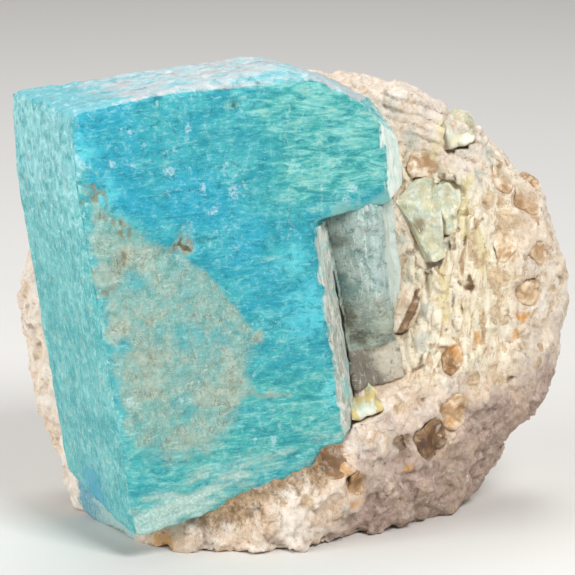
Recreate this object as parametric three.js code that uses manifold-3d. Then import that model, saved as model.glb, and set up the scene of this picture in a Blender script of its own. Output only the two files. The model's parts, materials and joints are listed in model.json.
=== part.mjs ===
// Rough amazonite: a blocky blue-green microcline crystal standing in a broken lump of albite rock. A paler
// sister crystal fills the corner of its stepped right side, and pale green feldspar crystals and grains of
// smoky quartz sit in the rock. Millimetres, +Z up; -Y is the side that shows the crystal's broad face. The
// origin is in the flat spot under the rock, which the specimen rests on.
import * as THREE from "three";
import { ConvexGeometry } from "three/addons/geometries/ConvexGeometry.js";
import { ImprovedNoise } from "three/addons/math/ImprovedNoise.js";
import { mergeVertices } from "three/addons/utils/BufferGeometryUtils.js";
import Module from "manifold-3d";

const wasm = await Module();
wasm.setup();

// ---------------------------------------------------------------- driving dimensions

const GAP = 0.3; // between any two neighbouring pieces

// The crystals' own frame: r runs right along the broad face, u up it, and n out of it.
const CRYSTAL_CORNER = [-40.9, -28, 85.1]; // top left corner of the broad face
const CRYSTAL_YAW = 22; // degrees that the broad face turns away to the right
const CRYSTAL_LEAN = 8; // degrees that the crystal's top leans to the left
const CRYSTAL_HEIGHT = 82;
const CRYSTAL_DEPTH = 33; // along the left side
const HEAD_WIDTH = 67; // of the wide upper part
const HEAD_HEIGHT = 30; // down to the step above the sister crystal
const TRUNK_WIDTH = 50.5; // of the narrow lower part
const SISTER_WIDTH = 13;
const SISTER_HEIGHT = 34.5;

const LEDGE_DEPTH = 0.25; // of the shallow ledge that runs down across the broad face

const ROCK_CENTRE = [2.4, 18, 39.8];
const ROCK_BACK = 21; // from the rock's centre to its back
const ROCK_DETAIL = 16; // how finely the rock's surface is divided
const ROCK_RELIEF = [[1.4, 20], [1, 10.5], [0.7, 6.3]]; // height and wavelength of its unevenness
const FLUTE_HEIGHT = 0.5; // of the upright flutes on its right
const FLUTE_SPACING = 5;

// Outline of the rock as seen from the front: degrees anticlockwise from +X, and the distance to the edge.
const ROCK_OUTLINE = [
  [0, 52.5], [20, 52], [45, 47.5], [62, 47], [75, 45.5], [90, 46.5], [105, 45], [120, 47], [140, 52],
  [160, 53], [171, 53.5], [183, 56], [197, 55], [211, 56], [225, 60], [240, 65], [255, 64], [270, 62],
  [285, 57], [300, 51.5], [315, 49.5], [330, 49], [345, 52],
];

// The rock's front surface: x and z of a place, and the y that the surface comes forward to there.
const ROCK_FRONT = [
  [-52, 45, 5], [-50, 30, 6], [-46, 18, 3], [-38, 5, -6],
  [-38, 60, 0], [-25, 75, 2], [-25, 50, -4], [-28, 25, -8], [0, 75, 6], [0, 50, 0], [-8, 32, -8],
  [-27, 8, -25], [-27, -3, -24], [-12, 13, -22], [-12, 5, -25], [-12, -5, -23], [0, 18, -17], [0, 9, -24],
  [0, -3, -23], [10, 22, -12], [10, 12, -19], [12, -2, -21], [16, 26, -5], [20, 18, -10], [19, 8, -13],
  [19, -3, -3], [28, 18, -11], [30, 7, -9], [27, -2, -4], [38, 25, -3], [42, 12, 1], [23, 32, 0.5],
  [30, 30, -2], [28, 40, 3], [45, 35, 4], [14, 42, 3], [14, 60, 3], [24, 48, 3.5], [24, 58, 3], [24, 70, 3.5],
  [20, 84, 5], [36, 52, 2], [35, 70, 4], [48, 50, 3],
];
const ROCK_FRONT_SPREAD = 6.5; // how far each of those places reaches

// Flat breaks across its back, underside and shoulders: outward normal, and distance from the centre.
const ROCK_BREAKS = [
  [[0.12, 0.97, 0.2], 20],
  [[-0.66, 0.72, 0.2], 36],
  [[0.8, 0.58, 0.15], 42],
  [[0.1, 0.55, 0.83], 39],
  [[0.05, 0.62, -0.78], 33],
  [[-0.5, 0.7, -0.5], 39],
  [[0.6, 0.5, -0.62], 43],
];

// Its front is broken into lumps. Each row: its height z, and the x that its lumps run from and to.
const LUMP_ROWS = [
  [4, -20, 22], [11, 4, 30], [18, 17, 33], [25, 23, 38], [32, 27, 42], [40, 30, 45], [48, 29, 45],
  [56, 35, 44], [64, 33, 42], [72, 28, 37], [80, 23, 26],
];
const LUMP_SPACING = 7;

// Hollows between them: place, size and lean.
const HOLLOWS = [
  [[24.2, 52.6], [1.8, 4], 10], [[22.6, 64.5], [1.6, 3.6], 10], [[29.6, 66.6], [1.6, 4], 30],
  [[30.4, 54], [1.8, 4.5], 30], [[24, 18], [2.6, 2], 60], [[35.4, 46], [2, 4], 10],
  [[39.4, 48.8], [2.2, 3], 0], [[37.6, 60.6], [1.6, 3.6], -10], [[24.4, 34.5], [1.8, 4], 20],
  [[33, 12.5], [3, 2.6], 0],
];

// Grains of quartz in the rock: place [x, z], size [across, along], lean of the long way in degrees to the
// right, and colour.
const SMOKE = "#7d6a55";
const TAN = "#b98f63";
const AMBER = "#b5803c";
const GRAINS = [
  { at: [27.1, 17.9], size: [5.1, 8], lean: 12, colour: SMOKE },
  { at: [32.2, 22.6], size: [4.8, 7.4], lean: 18, colour: TAN },
  { at: [8.4, 15.6], size: [5.4, 6], lean: 0, colour: SMOKE },
  { at: [13.4, 11.4], size: [3.2, 4.8], lean: 35, colour: AMBER },
  { at: [31.7, 32.2], size: [3.2, 5.4], lean: 20, colour: AMBER },
  { at: [25.9, 68.4], size: [5, 6.4], lean: 0, colour: TAN },
  { at: [41.6, 65.5], size: [3.4, 6.4], lean: -12, colour: TAN },
  { at: [46.4, 61.5], size: [4.6, 6.6], lean: -25, colour: TAN },
  { at: [41.7, 53.1], size: [3, 6.2], lean: 8, colour: TAN },
  { at: [48.6, 51.2], size: [3.4, 5], lean: -8, colour: TAN },
  { at: [46.5, 43.8], size: [5.6, 4], lean: 0, colour: TAN },
  { at: [22.9, 41.4], size: [1.9, 11.5], lean: 24, colour: SMOKE },
];

const GRAIN_PROUD = 0.3; // how far a grain's front stands out of the rock
const GRAIN_SKEW = 0.75; // how unevenly a round grain's faces turn; a long one's turn less

// Small feldspar crystals, which lie the same way as the big one: place, size [wide, high], how much their
// [left, right] sides close in downwards, and how far they stand out of the rock.
const PALE = [
  { name: "pale_crystal_tall", at: [26.6, 57.8], size: [5.2, 14.4], narrowing: [0.34, 0.02], proud: 1.4 },
  { name: "pale_crystal_short", at: [31.2, 60.2], size: [3.3, 8.6], narrowing: [0.02, 0.4], proud: 0.9 },
  { name: "pale_crystal_upper", at: [33.3, 74], size: [5.6, 4.4], narrowing: [0.07, 0.1], proud: 0.7 },
  { name: "green_feldspar", at: [14.9, 25.8], size: [5.4, 4.6], narrowing: [-0.2, -0.3], proud: 0.7 },
];

// ---------------------------------------------------------------- frame of the crystals

const radians = THREE.MathUtils.degToRad;
const vector = (xyz) => new THREE.Vector3(...xyz);

const crystalSeat = new THREE.Group();
crystalSeat.position.set(...CRYSTAL_CORNER);
crystalSeat.rotation.set(Math.PI / 2, -radians(CRYSTAL_LEAN), radians(CRYSTAL_YAW), "YZX");
crystalSeat.updateMatrixWorld(true);
const seated = (solid) => solid.transform(crystalSeat.matrixWorld.toArray());

// ---------------------------------------------------------------- solids

// A closed three.js geometry as a manifold solid.
function solidOf(geometry) {
  const bare = new THREE.BufferGeometry().setAttribute("position", geometry.getAttribute("position"));
  if (geometry.index) bare.setIndex(geometry.index);
  const merged = mergeVertices(bare, 1e-4);
  return new wasm.Manifold(
    new wasm.Mesh({
      numProp: 3,
      vertProperties: new Float32Array(merged.getAttribute("position").array),
      triVerts: new Uint32Array(merged.index.array),
    }),
  );
}

// A manifold solid as a flat-shaded three.js geometry.
function geometryOf(solid) {
  const mesh = solid.getMesh();
  const geometry = new THREE.BufferGeometry();
  geometry.setAttribute("position", new THREE.BufferAttribute(new Float32Array(mesh.vertProperties), 3));
  geometry.setIndex(new THREE.BufferAttribute(new Uint32Array(mesh.triVerts), 1));
  const flat = geometry.toNonIndexed();
  flat.computeVertexNormals();
  return flat;
}

// The corners of the convex solid inside a list of flat faces, each given by its outward normal and a point
// that it passes through. Every face moves outwards by grow.
function cornersOf(faces, grow = 0) {
  const planes = faces.map(([normal, through]) => {
    const n = vector(normal).normalize();
    return { n, d: n.dot(vector(through)) + grow };
  });
  const corners = [];
  for (let i = 0; i < planes.length; i++)
    for (let j = i + 1; j < planes.length; j++)
      for (let k = j + 1; k < planes.length; k++) {
        const [a, b, c] = [planes[i], planes[j], planes[k]];
        const bc = new THREE.Vector3().crossVectors(b.n, c.n);
        const det = a.n.dot(bc);
        if (Math.abs(det) < 1e-6) continue;
        const corner = bc
          .multiplyScalar(a.d)
          .addScaledVector(new THREE.Vector3().crossVectors(c.n, a.n), b.d)
          .addScaledVector(new THREE.Vector3().crossVectors(a.n, b.n), c.d)
          .divideScalar(det);
        if (planes.every((p) => p.n.dot(corner) < p.d + 1e-4)) corners.push(corner);
      }
  return corners;
}

const hullOf = (points) => solidOf(new ConvexGeometry(points));
const facetedSolid = (faces, grow) => hullOf(cornersOf(faces, grow));

// The space in front of a faceted solid: its foremost part, as far back as n = back, drawn out along a
// direction and flaring as it goes.
function spaceBefore(faces, back, along, flare) {
  const foremost = [...faces, [[0, 0, -1], [0, 0, back]]];
  const near = cornersOf(foremost, GAP);
  const far = cornersOf(foremost, flare).map((corner) => corner.add(vector(along)));
  return hullOf([...near, ...far]);
}

// ---------------------------------------------------------------- big crystal

const backFace = [[0.28, 0.03, -0.96], [0, 0, -CRYSTAL_DEPTH]];
const broadFace = [[0, 0, 1], [0, 0, 0]];
const leftFaces = [
  [[-1, 0.1, 0.02], [0, -14, 0]],
  [[-1, -0.02, 0.02], [0, -14, 0]],
  [[-0.7, 0, 0.7], [0.9, 0, 0]], // worn front edge
];

const headFaces = [
  broadFace,
  backFace,
  ...leftFaces,
  [[0, 1, 0.02], [0, 0, 0]], // top
  [[0.08, 0.75, 0.65], [22, -0.5, 0]], // worn top edge
  [[0.42, 0.9, 0.03], [44.5, 0, 0]], // three facets that round the top right corner
  [[0.57, 0.8, 0.15], [52, -4.5, 0]],
  [[0.78, 0.55, 0.3], [59, -10, 0]],
  [[1, 0, 0], [HEAD_WIDTH, 0, 0]], // right side
  [[0.7, 0, 0.7], [61.5, 0, 0]], // bevel down the right edge
  [[0.02, -1, -0.3], [50, -HEAD_HEIGHT, 0]], // step
];

const trunkFaces = [
  broadFace,
  backFace,
  ...leftFaces,
  [[0, 1, 0], [0, -5, 0]],
  [[1, 0, 0], [TRUNK_WIDTH, 0, 0]],
  [[0.7, 0.02, 0.7], [45.3, -45, 0]], // bevel beside the sister crystal
  [[0.62, -0.78, 0], [48.5, -70.5, 0]], // lower right corner
];
const foot = [
  [[0.1, -1, -0.18], [0, -CRYSTAL_HEIGHT, 0]],
  [[-0.5, -0.8, 0.35], [1.5, -CRYSTAL_HEIGHT + 1, 0]], // chipped left corner
];

// A pit near the top edge, and two arms of a crack where the ledge turns.
const pit = [
  [[0.8, 0, -0.6], [34.2, 0, 0]],
  [[-0.8, 0, -0.6], [32.4, 0, 0]],
  [[0, 0.8, -0.6], [0, -4, 0]],
  [[0, -0.8, -0.6], [0, -5.8, 0]],
  [[0, 0, 1], [0, 0, 2]],
];
const crack = ([r, u], angle, length, width, depth) => {
  const [c, s] = [Math.cos(radians(angle)), Math.sin(radians(angle))];
  const [across, down] = [width / 2, depth];
  return [
    [[-s * down, c * down, -across], [r - s * across, u + c * across, 0]],
    [[s * down, -c * down, -across], [r + s * across, u - c * across, 0]],
    [[c, s, -0.4], [r + (c * length) / 2, u + (s * length) / 2, 0]],
    [[-c, -s, -0.4], [r - (c * length) / 2, u - (s * length) / 2, 0]],
    [[0, 0, 1], [0, 0, 2]],
  ];
};

// Below and left of a line that falls from the left edge to the right, the face lies a little lower.
const ledge = [
  [[0.76, 0.65, -3], [15, -26, 0]],
  [[-0.012, -0.01, -1], [15, -26, -LEDGE_DEPTH]],
  [[-1, 0, 0], [-5, 0, 0]],
  [[0, -1, 0], [0, -95, 0]],
  [[0, 0, 1], [0, 0, 2]],
];

function wholeCrystal(grow) {
  return facetedSolid(headFaces, grow).add(facetedSolid([...trunkFaces, ...foot], grow));
}

// ---------------------------------------------------------------- sister crystal

const SISTER_LEFT = 50.2;
const SISTER_FOOT = -HEAD_HEIGHT - SISTER_HEIGHT;
const SISTER_WAIST = SISTER_FOOT + 7.5; // where its end block begins

const sisterFaces = [
  [[-0.12, -0.06, 1], [57, -31, -2.2]], // two facets that meet in a low ridge down its front
  [[0.2, -0.06, 1], [57, -31, -2.2]],
  [[0.75, 0.1, 0.65], [62.3, -45, -3.6]],
  [[1, -0.2, 0], [SISTER_LEFT + SISTER_WIDTH, -42, 0]],
  [[1, -0.5, 0.1], [SISTER_LEFT + SISTER_WIDTH - 1.6, -49, -5]],
  [[-1, 0, 0], [SISTER_LEFT - 5, 0, 0]],
  [[0, 1, 0], [0, -HEAD_HEIGHT + 8, 0]],
  [[0.05, -1, 0.1], [50, SISTER_WAIST - 0.8, 0]],
  [[0.28, 0.03, -0.96], [0, 0, -CRYSTAL_DEPTH + 2]],
];
const endBlockFaces = [
  [[0, 0.04, 1], [55, SISTER_WAIST, -4.1]],
  [[1, 0.05, 0.1], [60.4, SISTER_WAIST, -4]],
  [[-1, 0, 0], [SISTER_LEFT - 4, 0, 0]],
  [[0, 1, 0.3], [50, SISTER_WAIST + 0.6, -4]],
  [[0.04, -1, 0], [50, SISTER_FOOT, 0]],
  [[0, 0, -1], [0, 0, -19]],
];

const wholeSister = (grow) => facetedSolid(sisterFaces, grow).add(facetedSolid(endBlockFaces, grow));

// ---------------------------------------------------------------- rock

const noise = new ImprovedNoise();
const centre = vector(ROCK_CENTRE);

// Smooth random relief, from about -1 to 1.
const rough = (p, wavelength) =>
  noise.noise(p.x / wavelength + 7.3, p.y / wavelength + 3.1, p.z / wavelength + 11.7);

function outlineAt(degrees) {
  const at = ((degrees % 360) + 360) % 360;
  let i = ROCK_OUTLINE.length - 1;
  while (ROCK_OUTLINE[i][0] > at) i--;
  const [fromAngle, from] = ROCK_OUTLINE[i];
  const [toAngle, to] = ROCK_OUTLINE[(i + 1) % ROCK_OUTLINE.length];
  const t = (at - fromAngle) / ((toAngle - fromAngle + 360) % 360);
  return THREE.MathUtils.lerp(from, to, THREE.MathUtils.smoothstep(t, 0, 1));
}

function frontAt(x, z) {
  let [sum, weights] = [0, 1e-9];
  for (const [px, pz, y] of ROCK_FRONT) {
    const weight = Math.exp(-((x - px) ** 2 + (z - pz) ** 2) / (2 * ROCK_FRONT_SPREAD ** 2)) + 1e-7;
    sum += weight * y;
    weights += weight;
  }
  return sum / weights;
}

// Negative inside the rock before its relief is added, and positive outside it.
function rockField(p) {
  const d = p.clone().sub(centre);
  const sideways = Math.hypot(d.x, d.z) / outlineAt(THREE.MathUtils.radToDeg(Math.atan2(d.z, d.x)));
  const ahead = d.y < 0;
  const depth = ahead ? Math.max(4, centre.y - frontAt(p.x, p.z)) : ROCK_BACK;
  const q = ahead ? 3 : 2.6;
  const body = (sideways ** q + (Math.abs(d.y) / depth) ** q) ** (1 / q) - 1;
  const breaks = ROCK_BREAKS.map(([normal, distance]) => vector(normal).normalize().dot(d) / distance - 1);
  return Math.max(body, ...breaks);
}

function rockRelief(p) {
  const fluted = THREE.MathUtils.smoothstep(p.x, 26, 32) * THREE.MathUtils.smoothstep(p.z, 30, 42);
  const across = (p.x + 0.28 * p.z) / FLUTE_SPACING;
  const flutes = Math.sin(2 * Math.PI * across + 1.5 * noise.noise(p.x / 9, 4.4, p.z / 14));
  const uneven = ROCK_RELIEF.reduce((sum, [height, wavelength]) => sum + height * rough(p, wavelength), 0);
  return uneven + FLUTE_HEIGHT * fluted * flutes;
}

// The distance at which a way that starts inside the rock comes out of it.
function wayOut(pointAt, inside, outside) {
  const middle = (inside + outside) / 2;
  if (Math.abs(outside - inside) < 1e-4) return middle;
  return rockField(pointAt(middle)) < 0 ? wayOut(pointAt, middle, outside) : wayOut(pointAt, inside, middle);
}

// The rock's surface on a ray from its centre.
function rockSurface(direction) {
  const along = (distance) => centre.clone().addScaledVector(direction, distance);
  const p = along(wayOut(along, 3, 95));
  const step = 0.6;
  const slope = ["x", "y", "z"].map((axis) => {
    const [up, down] = [p.clone(), p.clone()];
    up[axis] += step;
    down[axis] -= step;
    return rockField(up) - rockField(down);
  });
  return p.addScaledVector(vector(slope).normalize(), rockRelief(p));
}

// The rock before anything is cut from it. Its rays lie closer together towards its edge, where it curves.
function rockSolid() {
  const ball = new THREE.IcosahedronGeometry(1, ROCK_DETAIL);
  const position = ball.getAttribute("position");
  const direction = new THREE.Vector3();
  for (let i = 0; i < position.count; i++) {
    direction.fromBufferAttribute(position, i);
    direction.set(direction.x, direction.y * 0.62, direction.z).normalize();
    const p = rockSurface(direction);
    position.setXYZ(i, p.x, p.y, p.z);
  }
  return solidOf(ball);
}

// The place on the rock's front surface at x and z.
function seat([x, z]) {
  const at = (y) => new THREE.Vector3(x, y, z);
  const p = at(wayOut(at, centre.y, -40));
  p.y -= rockRelief(p);
  return p;
}

// ---------------------------------------------------------------- lumps, grains and small crystals

// A broken lump: twelve uneven faces round a middle that is sunk below the rock's surface. With a skew, each
// face also turns its own way.
function lumpFaces(at, [across, along], lean, sunk, seed, skew = 0) {
  const depth = Math.min(0.8 * across + 1.2, 5);
  const middle = seat(at).add(new THREE.Vector3(0, sunk, 0));
  const uneven = (k) => noise.noise(seed * 3.7 + k * 1.9, 5.3, k * 0.77);
  const ball = new THREE.IcosahedronGeometry(1, 0).getAttribute("position");
  const directions = new Map();
  for (let i = 0; i < ball.count; i++) {
    const v = new THREE.Vector3().fromBufferAttribute(ball, i);
    directions.set(v.toArray().map((c) => c.toFixed(3)).join(), v);
  }
  return [...directions.values()].map((v, k) => {
    const even = Math.hypot((v.x * across) / 2, (v.y * depth) / 2, (v.z * along) / 2);
    const reach = even * (0.93 + 0.2 * uneven(k));
    const turned = new THREE.Vector3(uneven(k + 20), uneven(k + 40), uneven(k + 60)).multiplyScalar(skew);
    const normal = v.add(turned).normalize().applyAxisAngle(new THREE.Vector3(0, 1, 0), radians(lean));
    return [normal.toArray(), middle.clone().addScaledVector(normal, reach).toArray()];
  });
}

// A quartz grain is such a lump, more uneven, with a flat break across its front.
function grainFaces({ at, size, lean }, seed) {
  const front = seat(at).add(new THREE.Vector3(0, -GRAIN_PROUD, 0));
  const tilt = [0.35 * noise.noise(seed, 2.5, 0.5), -1, 0.35 * noise.noise(seed, 0.5, 4.5)];
  const skew = GRAIN_SKEW * Math.min(1, size[0] / size[1]);
  return [...lumpFaces(at, size, lean, 0.5, seed, skew), [tilt, front.toArray()]];
}

function paleFaces({ at, size: [wide, high], narrowing: [left, right], proud }) {
  const middle = crystalSeat.worldToLocal(seat(at));
  const face = (normal, offset) => [
    vector(normal).transformDirection(crystalSeat.matrixWorld).toArray(),
    crystalSeat.localToWorld(vector(offset).add(middle)).toArray(),
  ];
  return [
    face([0.35, 0.08, 1], [wide * 0.15, 0, proud]),
    face([-0.3, 0.1, 1], [wide * 0.15, 0, proud]),
    face([1, -right, 0.1], [wide / 2, 0, 0]),
    face([-1, -left, 0.1], [-wide / 2, 0, 0]),
    face([0.4, 1, 0.5], [wide * 0.2, high / 2, 0]),
    face([-0.7, 1, 0.4], [-wide * 0.1, high / 2, 0]),
    face([0.1, -1, 0.25], [0, -high / 2, 0]),
    face([0, 0, -1], [0, 0, -3]),
  ];
}

// ---------------------------------------------------------------- assembly

// The trunk as far down as it shows, above the line where the rock rises over its foot.
const shownTrunk = [
  ...trunkFaces,
  [[0.165, -1, 0], [10, -79.7, 0]],
  [[0.7, -0.7, 0], [46, -71.4, 0]],
];
const clearings = [
  spaceBefore(headFaces, -6, [1, 0, 10], 2),
  spaceBefore(shownTrunk, -0.5, [1, -8, 10], 1),
  spaceBefore(sisterFaces, -6, [3, 0, 8], 1),
  spaceBefore(endBlockFaces, -5, [3, -1, 8], 1),
].reduce((all, one) => all.add(one));

const floor = solidOf(new THREE.BoxGeometry(200, 200, 40).translate(0, 0, -20));
const specimen = new THREE.Group();
specimen.add(crystalSeat);

function addPiece(name, parent, solid, color, roughness) {
  const material = new THREE.MeshStandardMaterial({ color, roughness, metalness: 0, flatShading: true });
  const mesh = new THREE.Mesh(geometryOf(solid), material);
  mesh.name = name;
  parent.add(mesh);
}

const crystalSolid = wholeCrystal(0)
  .subtract(facetedSolid(ledge))
  .subtract(facetedSolid(pit))
  .subtract(facetedSolid(crack([19.2, -27.4], 60, 6.5, 1, 0.8)))
  .subtract(facetedSolid(crack([17, -30], 8, 6, 0.9, 0.7)));
addPiece("amazonite_crystal", crystalSeat, crystalSolid, "#38b4bf", 0.45);
addPiece("sister_crystal", crystalSeat, wholeSister(0).subtract(wholeCrystal(GAP)), "#8fb3a8", 0.5);

// Each small piece gives way to those before it, and the rock, which leaves its front open, to them all.
let taken = seated(wholeCrystal(GAP).add(wholeSister(GAP)));
function addSmallPiece(name, faces, colour, roughness) {
  addPiece(name, specimen, facetedSolid(faces).subtract(taken), colour, roughness);
  const corners = cornersOf(faces, GAP);
  const drawnOut = corners.map((corner) => corner.clone().add(new THREE.Vector3(0, -3, 0)));
  taken = taken.add(hullOf([...corners, ...drawnOut]));
}
for (const pale of PALE) addSmallPiece(pale.name, paleFaces(pale), "#b7c7ad", 0.5);
GRAINS.forEach((grain, i) => {
  addSmallPiece(`quartz_grain_${i + 1}`, grainFaces(grain, i + 1), grain.colour, 0.35);
});

let rock = rockSolid();
LUMP_ROWS.forEach(([z, from, to], row) => {
  for (let x = from; x <= to; x += LUMP_SPACING) {
    const seed = x + 31 * row;
    const chance = [0, 1, 2, 3].map((k) => noise.noise(seed * 0.73, k * 5.1 + 0.5, 2.5));
    const [along, across, sideways, upwards] = chance;
    const at = [x + 2.5 * sideways, z + 2.5 * upwards];
    const size = [7.5 + 3 * across, 10 + 4 * along];
    const faces = lumpFaces(at, size, -10 + 50 * sideways, 1.85 + 0.6 * across, seed);
    rock = rock.add(facetedSolid(faces));
  }
});
HOLLOWS.forEach(([at, size, lean], i) => {
  rock = rock.subtract(facetedSolid(lumpFaces(at, size, lean, -0.6, i + 50)));
});
rock = rock.subtract(taken).subtract(seated(clearings)).subtract(floor);

// Crumbs that the pockets cut loose are left out.
const [matrix] = rock.decompose().sort((a, b) => b.volume() - a.volume());
addPiece("albite_matrix", specimen, matrix, "#d9c6ac", 0.85);

export default specimen;
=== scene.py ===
import json
import math
from contextlib import contextmanager

import bmesh
import bpy
import numpy as np
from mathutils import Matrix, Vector, noise
from mathutils.bvhtree import BVHTree
from mathutils.kdtree import KDTree


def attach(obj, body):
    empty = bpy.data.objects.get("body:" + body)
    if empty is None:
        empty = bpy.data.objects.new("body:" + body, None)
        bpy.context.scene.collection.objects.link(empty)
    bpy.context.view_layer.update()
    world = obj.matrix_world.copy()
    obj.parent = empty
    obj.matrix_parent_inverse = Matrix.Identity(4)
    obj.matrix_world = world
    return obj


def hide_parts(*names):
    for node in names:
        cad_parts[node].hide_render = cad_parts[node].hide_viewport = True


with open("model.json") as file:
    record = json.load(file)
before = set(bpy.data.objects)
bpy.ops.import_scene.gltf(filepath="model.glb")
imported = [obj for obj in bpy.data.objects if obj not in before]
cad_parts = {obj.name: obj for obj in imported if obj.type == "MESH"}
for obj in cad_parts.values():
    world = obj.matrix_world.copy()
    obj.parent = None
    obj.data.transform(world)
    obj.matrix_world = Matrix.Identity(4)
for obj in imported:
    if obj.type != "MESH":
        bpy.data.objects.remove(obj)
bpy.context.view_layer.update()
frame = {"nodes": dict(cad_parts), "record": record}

MM = 0.001
FAR = 1e9  # in millimetres, past everything

# ---------- driving values

# The big crystal's own frame: r runs right along its broad face, u up it, and n out of it.
CRYSTAL_CORNER = (-40.9, -28.0, 85.1)
CRYSTAL_YAW = math.radians(22)
CRYSTAL_LEAN = math.radians(8)

VIEW_TARGET = Vector((0, 0, 0.0465))
VIEW_DISTANCE = 0.7
VIEW_ELEVATION = math.radians(13)
VIEW_LENS = 230.1
VIEW_SENSOR = 36.0
TOWARDS_VIEWER = np.array([0, -math.cos(VIEW_ELEVATION), math.sin(VIEW_ELEVATION)])

ROCK_GRAIN = 0.78  # spacing of the fine meshes' points, twice as close where a mesh is refined
CRYSTAL_GRAIN = 0.62
SISTER_GRAIN = 0.34
SMALL_GRAIN = 0.2
CONTACT = 0.3  # the gap between the solids, which the grown minerals close
NOISE_SEED = 7  # the tilts of the broken chips are drawn from this

# ---------- places and relief


def crystal_axes():
    """The directions of r, u and n."""
    yaw_cos, yaw_sin = math.cos(CRYSTAL_YAW), math.sin(CRYSTAL_YAW)
    lean_cos, lean_sin = math.cos(CRYSTAL_LEAN), math.sin(CRYSTAL_LEAN)
    right = (yaw_cos * lean_cos, yaw_sin, yaw_cos * lean_sin)
    up = (-lean_sin, 0, lean_cos)
    out = (yaw_sin * lean_cos, -yaw_cos, yaw_sin * lean_sin)
    return np.array([right, up, out])


def on_crystal(points):
    """Points in the crystal's own frame."""
    return (points - np.array(CRYSTAL_CORNER)) @ crystal_axes().T


def rough(points, wavelength, seed=0):
    """Smooth random relief, from about -1 to 1. wavelength is one length, or one for each axis."""
    at = points / np.array(wavelength) + np.array([7.3, 3.1, 11.7]) * (seed + 1)
    return np.array([noise.noise(Vector(p)) for p in at]) * 1.6


def fractal(points, wavelength, octaves=4, seed=0):
    """Relief of several sizes, each half as long and half as high as the one before."""
    wavelength = np.array(wavelength, float)
    layers = [rough(points, wavelength / 2**k, seed + k) / 2**k for k in range(octaves)]
    return sum(layers) / 1.6


def chips(points, size, seed=0):
    """Relief of broken chips: flat cells that each tilt their own way. Also how near a point is to a
    border between two chips, from 1 on the border to 0."""
    at = points / np.array(size) + 5.1 * (seed + 1)
    height = np.empty(len(at))
    border = np.empty(len(at))
    for i, p in enumerate(at):
        distances, centres = noise.voronoi(Vector(p))
        tilt = noise.noise_vector(centres[0] * 3.7)
        height[i] = tilt.dot(Vector(p) - centres[0])
        border[i] = distances[1] - distances[0]
    return height * 2, np.clip(1 - border * 4, 0, 1)


def warped(points, wavelength, amount, seed=0):
    """Points pushed about by soft noise, so that what is drawn on them has uneven borders."""
    shift = [rough(points, wavelength, seed + k) for k in range(3)]
    return points + amount * np.stack(shift, axis=1)


def ramp(value, low, high):
    """0 below low, 1 above high, and smooth between them."""
    t = np.clip((value - low) / (high - low), 0, 1)
    return t * t * (3 - 2 * t)


def spots(places, at, reach_scale=1.0):
    """How much each place is inside the nearest of some round spots, given as (x, y, radius): 1 at a spot's
    centre, 0.5 on its rim, and 0 well outside."""
    inside = np.zeros(len(places))
    for x, y, radius in at:
        d = np.hypot(places[:, 0] - x, places[:, 1] - y) / (radius * reach_scale)
        inside = np.maximum(inside, np.exp(-0.69 * d * d))
    return inside


def fade(distance, width):
    """1 at no distance, falling smoothly to 0 by about twice a width."""
    return np.exp(-((distance / width) ** 2))


def along(places, route, width):
    """1 on a line through some points, falling to 0 at a width beside it."""
    near = np.full(len(places), FAR)
    for (x0, y0), (x1, y1) in zip(route, route[1:]):
        step = np.array([x1 - x0, y1 - y0])
        d = places[:, :2] - np.array([x0, y0])
        t = np.clip(d @ step / (step @ step), 0, 1)
        near = np.minimum(near, np.linalg.norm(d - t[:, None] * step, axis=1))
    return fade(near, width)


# ---------- fine meshes


def added(name, data):
    """A new object of the scene."""
    thing = bpy.data.objects.new(name, data)
    bpy.context.scene.collection.objects.link(thing)
    return thing


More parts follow.
